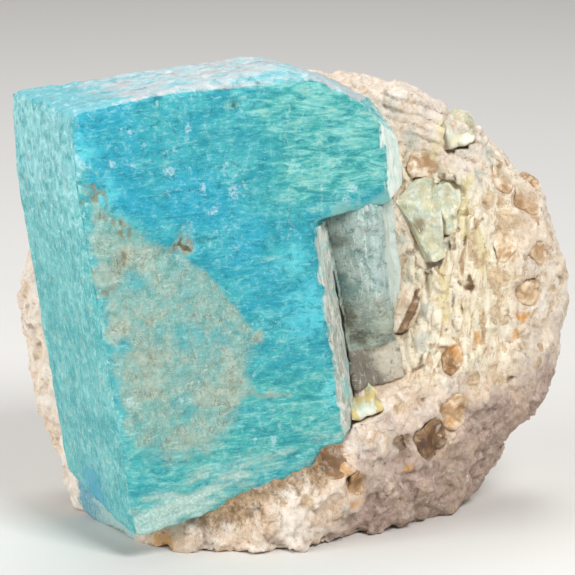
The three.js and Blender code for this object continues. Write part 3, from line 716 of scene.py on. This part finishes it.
def sister_crystal():
    piece = Piece("sister_crystal", "pale_amazonite", SISTER_GRAIN)
    piece.snap()
    place = on_crystal(piece.points)
    face = warped(place, 2.2, 0.6, 40)
    r, u, _ = place.T
    facing = piece.normals @ crystal_axes().T
    broad = ramp(facing[:, 2], 0.4, 0.8)
    column = ramp(u, SISTER_END_U - 0.5, SISTER_END_U + 1)
    across = (r - SISTER_MIDDLE) / SISTER_HALF_WIDTH
    left_side = ramp(-across, 0.2, 0.75)
    # Painted shade in the hollows, and down the left side, which lies in the trunk's shadow.
    dark = 0.8 * spots(face, SISTER_HOLLOWS) + left_side * (0.3 + 0.3 * rough(place, 3, 24)) * column
    piece.note_place(place)
    piece.note(
        # Pale turquoise middle, partly a painted highlight.
        core=fade(across - 0.35, 0.5) * ramp(u, -53, -44),
        teal=0.9 * along(face, TEAL_STREAK, 1.2),
        wavy=column * ramp(-u - 0.3 * (r - SISTER_MIDDLE), 40, 54),
        end=1 - column,
        end_light=ramp(r + 0.5 * (u - SISTER_END_U), SISTER_MIDDLE - 6.5, SISTER_MIDDLE + 0.5),
        bleached=ramp(across, 0.3, 0.7) * ramp(u, -58, -46) * column,
        dark=np.clip(dark, 0, 1),
    )
    edge = fade(distance_to_edges(piece), 0.9)
    height = CONTACT + 0.2 - 0.35 * edge * (0.8 + 0.5 * rough(place, 2, 20))
    height += column * broad * (3 * (0.5 - across**2) - 1.4 * left_side + 0.9 * ramp(u, -40, -32))
    height += 0.4 * rough(place, (3, 9, 3), 21) + 0.25 * rough(place, (1.5, 4, 1.5), 22)
    height -= 0.4 * spots(face, SISTER_HOLLOWS) * broad
    piece.raise_by(height)
    piece.soften(FINAL_ROUNDS)
    piece.finish(pale_amazonite_material())


# ---------- rock

SLAB_FALL = math.radians(22)  # the slabs at the top fall to the right
SLAB_THICKNESS = 2.1
# Stains and grains on the rock's front, and hollows painted with shade, as x, z and radius, and lines through
# points in x and z.
ORANGE_SPOTS = [(-23.6, 1.4, 3), (31.2, 20.6, 1.2), (45.8, 39.2, 1.4), (43.8, 35.7, 1.2), (12.9, 8.2, 1),
                (31.9, 34, 1.2), (22.9, 12.7, 1.2), (11.7, 13.9, 1.2), (28.4, 43.6, 0.8), (36.5, 36, 1)]
YELLOW_LINES = [[(29, 76), (27.8, 69)], [(34, 66), (33.5, 55)], [(29.5, 50), (30, 40)],
                [(36.5, 58), (38, 48)]]
GREEN_PATCHES = [(34, 72, 2.6), (25.5, 41.5, 2.6), (21.8, 55, 1.8), (22, 51, 1.8), (22.8, 47, 1.8),
                 (31, 64, 1.8), (36, 66, 2), (26, 36, 2), (30.5, 54, 1.6), (24, 74, 2.2), (39, 70, 2)]
BROWN_PATCHES = [(35.8, 28.1, 1.5), (3.8, 9.4, 1.2), (-11, 10, 1), (26.2, 7.7, 1.5), (-49, 30, 1.3),
                 (21, 25, 1.2), (38.6, 62, 1.2), (43.6, 58, 1.4), (37, 50.5, 1.2), (40.6, 41, 1.5)]
DARK_HOLLOWS = [(21.4, 17.9, 0.9), (22.9, 19.3, 0.8), (24.2, 52.6, 1.2), (22.6, 64.5, 1.1), (30.4, 54, 0.9),
                (29.6, 66.6, 0.8), (-50.2, 36.2, 0.5), (35.4, 46, 0.8), (24.5, 60, 0.9), (33.6, 60, 0.6)]
COARSE_BESIDE = 0.45  # nearer than this to another solid, the rock's mesh stays coarse
OPEN_BEYOND = 0.7  # farther than this from all of them, its front is open
SPIKE = 0.3  # a point that stands this far out from those around it is brought back
LIP_RISE = 1.7  # how far the rock climbs up the crystal along the foot of its broad face
FRONT_LIMIT = -10  # only the foremost lobe carries that lip


def albite_material():
    """Cream albite: pinkish granular lumps, creamy flutes, tan quartz between them, brown painted shade in
    its hollows.
    """
    m = Finish("albite", roughness=0.65, specular=0.35)
    clouds = m.cloud(6, 5, 0.6, 0.5)
    patches = m.cloud(2.4, 9, 0.74, 0.7)
    grain = m.cloud(0.8, 7, 0.78)
    fibres = m.cloud((0.9, 1.2, 8), 7, 0.7, 0.7, turn=(0, -8, 0))
    fibrous = m.attribute("fibrous")
    body = m.tint("#e5ccb2", "#f3e7d9", clouds, 0.38, 0.62)
    body = m.layered(
        body, ("#c9a98c", patches, 0.52, 0.64, 0.65), ("#fbf3e8", patches, 0.47, 0.36, 0.8),
        ("#b39073", grain, 0.45, 0.33, 0.5), ("#fdf8f0", grain, 0.54, 0.68, 0.65))
    flutes = m.tint("#f0e0bb", "#fcf4e0", fibres, 0.4, 0.58)
    body = m.mix(body, flutes, m.times(m.ramp(m.add(fibres, m.times(clouds, 0.4)), 0.52, 0.68), fibrous))
    body = m.mix(body, "#b08d62", m.times(m.ramp(fibres, 0.45, 0.34), m.times(fibrous, 0.75)))
    body = m.mix(body, "#efe8dc", m.times(m.ramp(grain, 0.42, 0.58), m.times(m.attribute("slabby"), 0.6)))
    body = m.zoned(
        body, ("#c9d2c6", "green", patches, 2.2, 0.35, 1.1, 0.75),
        ("#eedfa4", "yellow", patches, 2.2, 0.35, 1.1, 0.7))
    tan = m.tint("#a98a68", "#e3caa6", patches, 0.38, 0.56)
    body = m.zoned(body, (tan, "quartz", grain, 0.8, 0.35, 0.7, 0.85))
    # The lower right is lilac-brown rock, darkened towards the lower right and the bottom with painted shade.
    lilac = m.patch("dim", m.add(m.times(clouds, 0.7), m.times(patches, 0.3)), 4, 0.1, 1.2, 0.85)
    lilacs = m.tint("#856757", "#c0a496", patches, 0.4, 0.56)
    lilacs = m.layered(
        lilacs, ("#e3d5cc", patches, 0.55, 0.64, 0.7), ("#dfcec4", grain, 0.53, 0.65, 0.75),
        ("#4f3a2f", grain, 0.45, 0.34, 0.75))
    body = m.mix(body, lilacs, lilac)
    veins = m.times(m.lines((2, 2, 2.6), 0.02, 7, 0.66), m.ramp(patches, 0.42, 0.58))
    body = m.mix(body, "#8f6d50", m.times(veins, 0.6))
    body = m.zoned(
        # Brown painted shade in the rock's hollows and crevices.
        body, (m.tint("#a07d55", "#5e4733", grain, 0.42, 0.6), "hollow", grain, 1.4, 0.35, 1, 0.75),
        # Painted shadow under the crystal's foot, over brown-stained rock.
        (m.tint("#6a5236", "#b3946c", grain, 0.4, 0.6), "band", patches, 2.4, 0.2, 0.8, 0.85),
        ("#d99a45", "orange", grain, 2, 0.4, 1.1, 0.85))
    # Painted light on the rock at the left, behind the crystal, where it lies in the crystal's shadow.
    body = m.mix(body, "#fffaf0", m.times(m.attribute("chalky"), 0.85))
    foot_tint = m.add(m.times(grain, 0.7), m.times(m.attribute("pale_foot"), 0.2))
    foot = m.tint("#3f9db8", "#a9cfcb", foot_tint, 0.3, 0.52)
    body = m.mix(body, foot, m.patch("foot", patches, 1.2, 0.3, 0.8, 0.9))
    specks = m.times(m.ramp(m.cloud(0.5, 3, 0.6), 0.63, 0.72), 0.6)
    m.base(m.mix(body, "#574636", specks))
    m.bump(m.add(grain, m.times(fibres, 0.4)), 0.4)
    return m.material


def turned(points, angle):
    """Places across, through and along lines that are turned by an angle as seen from the front."""
    x, y, z = points.T
    cos, sin = math.cos(angle), math.sin(angle)
    return np.stack([x * cos + z * sin, y, z * cos - x * sin], axis=1)


def solid_parts(nodes):
    """The corners and faces of some CAD nodes together."""
    corners, faces = [], []
    for node in nodes:
        mesh = frame["nodes"][node].data
        first = len(corners)
        corners += [v.co.copy() for v in mesh.vertices]
        faces += [tuple(first + i for i in f.vertices) for f in mesh.polygons]
    return corners, faces


def distance_to_solids(points, nodes):
    tree = BVHTree.FromPolygons(*solid_parts(nodes))
    return np.array([tree.find_nearest(Vector(p) * MM)[3] for p in points]) / MM


def rock_relief(piece, fibrous, slabby, front, flat_places):
    """How far the rock's points stand out, how much painted shade its hollows get, and how much of tan quartz
    it is at each.
    """
    points = piece.points
    x, _, z = points.T
    granular = 1 - 0.85 * np.maximum(fibrous, slabby)
    fibres = turned(points, CRYSTAL_LEAN) + 0.8 * np.stack([rough(points, 5, 60)] * 3, axis=1)
    ridges = np.minimum(1, 2.2 * np.abs(rough(fibres, (2.8, 5, 22), 50)))
    fine_ridges = np.minimum(1, 2.4 * np.abs(rough(fibres, (1.3, 3, 9), 51)))
    blades, _ = chips(fibres, (1.8, 2.4, 8), 30)
    lumps, lump_border = chips(points, 4.4, 32)
    crumbs, crumb_border = chips(points, 1.9, 33)
    bedding = turned(points, -SLAB_FALL)
    layers = bedding[:, 2] / SLAB_THICKNESS + 0.5 * rough(bedding, (16, 12, 9), 71)
    layers = layers + 0.1 * rough(points, 2.5, 72)
    up_slab = layers - np.floor(layers)
    slab_border = ramp(up_slab, 0.72, 0.95) * ramp(rough(bedding, (9, 5, 2), 73), -0.4, 0.2)

    boulders, boulder_border = chips(warped(points, 6, 1, 74), 8, 75)
    height = granular * (0.75 * boulders - 0.4 * boulder_border + 0.6 * lumps + 0.3 * crumbs
                         + 0.3 * fractal(points, 3, 3, 70))
    height += 0.2 * rough(points, 2.3, 37) + 0.13 * rough(points, 1, 38)
    height += fibrous * (1.3 * (ridges - 0.6) + 0.5 * (fine_ridges - 0.6) + 0.35 * blades)
    height += slabby * (0.85 * (0.5 - up_slab) - 0.25 * slab_border)
    lenses = ramp(rough(fibres, (1.6, 2, 4.5), 35) + 0.3 * rough(points, 1, 61), 0.42, 0.62)
    lenses = lenses * fibrous * front
    blocks = ramp(rough(fibres, (3.4, 3, 4.4), 36) + 0.4 * rough(points, 1.3, 62), 0.4, 0.55)
    margin = front * ramp(x, 35, 41) * ramp(z, 22, 30)
    quartz = np.maximum.reduce([blocks * margin, lenses, spots(flat_places, BROWN_PATCHES) * front])
    pits = ramp(rough(points, 1.7, 39), 0.65, 1)
    hollows = spots(flat_places, DARK_HOLLOWS) * front
    height = height * (1 - 0.6 * quartz) - 0.2 * quartz - 0.3 * lenses - 0.7 * hollows - 0.35 * pits

    # The painted shade: darker in the valleys between ridges, on the borders of lumps, crumbs and slabs, in
    # pits and hollows, where the rock lies low, and on the tan quartz lenses.
    valleys = fibrous * ((1 - ridges) ** 2 + 0.4 * (1 - fine_ridges) ** 2)
    valleys = valleys * ramp(rough(points, 4, 44), -0.1, 0.7)
    borders = granular * (0.2 * lump_border + 0.2 * crumb_border) + 0.5 * slabby * slab_border + 0.8 * valleys
    hollow = (borders + hollows + 0.5 * pits - 0.5 * height) * (1 - quartz) + 0.55 * lenses - 0.15
    return height, np.clip(hollow, 0, 1), quartz


def albite_rock():
    """The rock. Gives the points of its front that no other piece touches."""
    piece = Piece("albite_matrix", "albite", ROCK_GRAIN)
    neighbours = [name for name in frame["nodes"] if name != "albite_matrix"]
    clear = distance_to_solids(piece.points, neighbours) > COARSE_BESIDE
    piece.refine((piece.normals @ TOWARDS_VIEWER > 0) & clear)
    points = piece.points
    x, y, z = points.T
    r, u, n = on_crystal(points).T
    flat_places = warped(points, 2.5, 0.7, 41)[:, [0, 2]]
    front = ramp(-piece.normals[:, 1], -0.1, 0.35)

    # Slabs at the top, upright fibres on the right, and lumps elsewhere.
    slabby = ramp(z + 0.45 * x, 79, 85) * ramp(x, -5, 5) * (1 - ramp(x, 34, 44))
    fibrous = ramp(x, 18, 24) * ramp(z, 24, 34) * front * (1 - 0.75 * ramp(x, 39, 47)) * (1 - slabby)
    height, hollow, quartz = rock_relief(piece, fibrous, slabby, front, flat_places)
    along_foot = ramp(r, 0, 5) * (1 - ramp(r, 43, 47))
    lip = fade(n, 3) * ramp(u, -86, -82) * ramp(-u, 66, 70) * along_foot * (y < FRONT_LIMIT)
    touching = fade(distance_to_solids(points, neighbours), 0.8)
    height = height * (1 - 0.55 * touching) + (CONTACT + 0.1 + 0.25 * rough(points, 1.5, 43)) * touching
    # At the lower left the crystal's foot runs on over the rock, smooth and blue.
    foot = ramp(x, -44, -41.5) * (1 - ramp(x, -31, -26)) * (1 - ramp(z - 0.3 * (-34 - x), 8, 12)) * front
    foot = foot * ramp(n, -37, -32)
    height = height * (1 - 0.7 * foot)
    # Darker towards the lower right and the bottom: painted shade over the lilac-brown rock there.
    low = 0.9 * ramp(0.6 * x - z, -15, 16) + 0.4 * ramp(32 - z, 0, 14)

    piece.note_place(points)
    piece.note(
        foot=foot,
        pale_foot=ramp(x, -40, -32),
        fibrous=fibrous,
        slabby=slabby,
        hollow=hollow * (1 - 0.5 * touching),
        quartz=quartz,
        dim=np.clip(low, 0, 1) * ramp(x, 2, 16) * front,
        # Painted shadow under the crystal's foot, over brown-stained rock.
        band=0.95 * lip * (x > -27) * ramp(-piece.normals[:, 1], -0.8, -0.2),
        # Painted light at the left, where the crystal shades the rock.
        chalky=ramp(-x, 38, 44) * ramp(-y, -14, -4),
        orange=spots(flat_places, ORANGE_SPOTS) * front,
        yellow=np.maximum.reduce([along(flat_places, line, 1.4) for line in YELLOW_LINES]) * front,
        green=spots(flat_places, GREEN_PATCHES) * front,
    )
    piece.points = piece.points + LIP_RISE * lip[:, None] * crystal_axes()[1]
    piece.raise_by(height)
    piece.points[:, 2] = np.maximum(piece.points[:, 2], 0)
    piece.write()
    piece.blunt(SPIKE)
    piece.finish(albite_material())
    clear = distance_to_solids(piece.points, neighbours) > OPEN_BEYOND
    return piece.points[(piece.normals[:, 1] < -0.2) & clear]


# ---------- grains and small crystals


def quartz_material(name, deep, clear, crust_share):
    """Glassy quartz in the rock, under some cream crust."""
    m = Finish(name, roughness=0.28, specular=0.45)
    clouds = m.cloud(2.6, 7, 0.66, 0.8)
    body = m.tint(deep, clear, m.add(clouds, m.times(m.attribute("rim"), 0.06)), 0.42, 0.66)
    body = m.mix(body, clear, m.attribute("light"))
    crust = m.add(m.cloud(1.8, 8, 0.7, 0.6), m.times(m.attribute("crusted"), 0.1))
    crust_colour = m.tint("#cdb496", "#f4e8d6", clouds, 0.4, 0.6)
    body = m.tint(body, crust_colour, crust, 0.57, 0.72, crust_share)
    rust = m.cloud(0.6, 5, 0.7)
    m.base(m.zoned(body, ("#cf8a36", "orange", rust, 3, 0.45, 1.2, 0.8),
                   (crust_colour, "buried", clouds, 0.8, 0.4, 0.7)))
    m.bump(m.cloud(0.9, 5), 0.2)
    return m.material


def pale_feldspar_material():
    """Milky, greenish, and yellow in places, with brown painted shade in crevices."""
    m = Finish("pale_feldspar", roughness=0.42, specular=0.4)
    clouds = m.cloud(3, 7, 0.68, 0.7)
    streaks = m.cloud((1, 1.4, 5), 8, 0.74, 0.6)
    crumbs = m.cloud(1.1, 8, 0.74)
    body = m.tint("#b9c8b5", "#e2e6d5", clouds, 0.38, 0.58)
    body = m.mix(body, "#e4e8dc", m.times(m.attribute("milky"), 0.7))
    body = m.tint(body, "#ecefe2", streaks, 0.5, 0.66, 0.75)
    yellowed = m.times(m.ramp(m.cloud(2, 5), 0.44, 0.56), m.attribute("yellow"))
    body = m.mix(body, "#d2c083", yellowed)
    body = m.tint(body, "#8f9078", m.cloud(1.6, 6, 0.66), 0.43, 0.34, 0.5)
    # Brown painted shade in the crevices at the pale crystals' lower ends.
    body = m.mix(body, "#857657", m.patch("hollow", clouds, 2.4, 0.3, 1.1, 0.8))
    crust = m.add(crumbs, m.times(m.attribute("crusted"), 0.12))
    m.base(m.tint(body, "#f3ead6", crust, 0.61, 0.7, 0.85))
    m.bump(m.cloud(0.8, 5), 0.2)
    return m.material


QUARTZ = {
    "smoky_quartz": ("#5a412d", "#93714f", 0.35),
    "tan_quartz": ("#b08d67", "#e0c8a6", 0.9),
    "amber_quartz": ("#85633c", "#cda577", 0.6),
}
# Pieces that look different from others of their kind:
LIGHT_GRAIN = "quartz_grain_3"
MILKY_CRYSTAL = "pale_crystal_upper"
YELLOW_CRYSTAL = "green_feldspar"
BLADE = "quartz_grain_12"
BLADE_LINE = [(25.2, 44.5), (21.6, 37)]  # its dark middle, as x and z; rock covers the rest of it
# How much rock covers some of the grains.
BURIED = {"quartz_grain_6": 0.52, "quartz_grain_7": 0.45, "quartz_grain_8": 0.45, "quartz_grain_11": 0.35}
# Brown painted shade in crevices below the pale crystals:
PALE_HOLLOWS = [(24.7, 57.6, 2), (31.6, 59, 0.8)]  # brown, as x, z and radius
# How far each kind stands out of the rock.
PROUD = {"smoky_quartz": 0.12, "tan_quartz": -0.03, "amber_quartz": 0, "pale_feldspar": -0.05}
QUARTZ_ROUNDS = 3  # how often a piece's points are evened out
FELDSPAR_ROUNDS = 10
LEVEL_POINTS = 24  # how many of the rock's points say how high its front is at a place
PATTERN_STEP = 13.7  # one piece's patterns lie this far from the next one's


def levelled(points, rock, proud):
    """The points, with those that stand out of the rock's front brought back towards its level."""
    tree = KDTree(len(rock))
    for i, (x, _, z) in enumerate(rock):
        tree.insert((x, 0, z), i)
    tree.balance()
    level = np.empty(len(points))
    for k, (x, _, z) in enumerate(points):
        near = tree.find_n((x, 0, z), LEVEL_POINTS)
        weights = [1 / (distance**2 + 0.5) for _, _, distance in near]
        level[k] = sum(w * rock[i][1] for w, (_, i, _) in zip(weights, near)) / sum(weights)
    points[:, 1] = np.maximum(points[:, 1], level - proud)
    return points


def small_piece(node, slot, material, order, rock):
    """A grain or small crystal. rock is the points of the rock's open front."""
    piece = Piece(node, node, SMALL_GRAIN)
    piece.snap()
    points = piece.points
    xz = points[:, [0, 2]]
    edge = fade(distance_to_edges(piece), 0.8)
    hollow = spots(xz, PALE_HOLLOWS)
    piece.note_place(points + PATTERN_STEP * order)
    piece.note(
        rim=edge,
        crusted=0 if node == YELLOW_CRYSTAL else edge,
        buried=1 - along(xz, BLADE_LINE, 0.9) if node == BLADE else BURIED.get(node, 0),
        orange=spots(xz, ORANGE_SPOTS),
        yellow=1 if node == YELLOW_CRYSTAL else 0.45,
        light=0.4 if node == LIGHT_GRAIN else 0,
        milky=1 if node == MILKY_CRYSTAL else 0,
        hollow=hollow,
    )
    height = 0.8 * CONTACT + 0.3 * rough(points, 2.4, order) + 0.12 * rough(points, 1, order) - 0.6 * hollow
    if slot == "pale_feldspar":
        height += 0.35 * rough(turned(points, CRYSTAL_LEAN), (2, 5, 11), order + 50)
    piece.raise_by(height)
    piece.points = levelled(piece.points, rock, PROUD[slot])
    piece.write()
    piece.soften(FELDSPAR_ROUNDS if slot == "pale_feldspar" else QUARTZ_ROUNDS)
    piece.finish(material)


def small_pieces(rock):
    materials = {slot: quartz_material(slot, *colours) for slot, colours in QUARTZ.items()}
    materials["pale_feldspar"] = pale_feldspar_material()
    for order, part in enumerate(frame["record"]["subparts"]):
        slot = part["material_slot"]
        if slot in materials:
            small_piece(part["node"], slot, materials[slot], order, rock)


# ---------- studio

FLOOR_REACH = 6.0  # in metres


def camera():
    data = bpy.data.cameras.new("camera")
    data.lens = VIEW_LENS
    data.sensor_width = VIEW_SENSOR
    data.clip_end = 10
    holder = added("camera", data)
    back = Vector(TOWARDS_VIEWER)
    holder.location = VIEW_TARGET + VIEW_DISTANCE * back
    holder.rotation_euler = (-back).to_track_quat("-Z", "Y").to_euler()
    bpy.context.scene.camera = holder


def floor():
    """A flat pale floor."""
    mesh = bpy.data.meshes.new("floor")
    corners = [(FLOOR_REACH * x, FLOOR_REACH * y, 0) for x, y in ((-1, -1), (1, -1), (1, 1), (-1, 1))]
    mesh.from_pydata(corners, [], [(0, 1, 2, 3)])
    sheet = added("floor", mesh)
    paper = Finish("paper", roughness=0.8)
    paper.base(colour("#dcdad6"))
    mesh.materials.append(paper.material)


def softbox(name, place, watts, size):
    data = bpy.data.lights.new(name, "AREA")
    data.energy = watts
    data.shape = "SQUARE"
    data.size = size
    lamp = added(name, data)
    lamp.location = place
    lamp.rotation_euler = (VIEW_TARGET - Vector(place)).to_track_quat("-Z", "Y").to_euler()


def lights():
    softbox("key", (0.35, -0.55, 0.7), 6.6, 0.3)
    softbox("fill", (-0.65, -0.4, 0.35), 5, 0.5)
    softbox("top", (0.0, 0.35, 0.8), 3.2, 0.5)
    world = bpy.data.worlds.new("room")
    world.use_nodes = True
    glow = world.node_tree.nodes["Background"]
    glow.inputs["Color"].default_value = colour("#f2f2f2")
    glow.inputs["Strength"].default_value = 0.27
    bpy.context.scene.world = world
    bpy.context.scene.view_settings.view_transform = "Standard"


noise.seed_set(NOISE_SEED)
camera()
floor()
lights()
amazonite_crystal()
sister_crystal()
small_pieces(albite_rock())
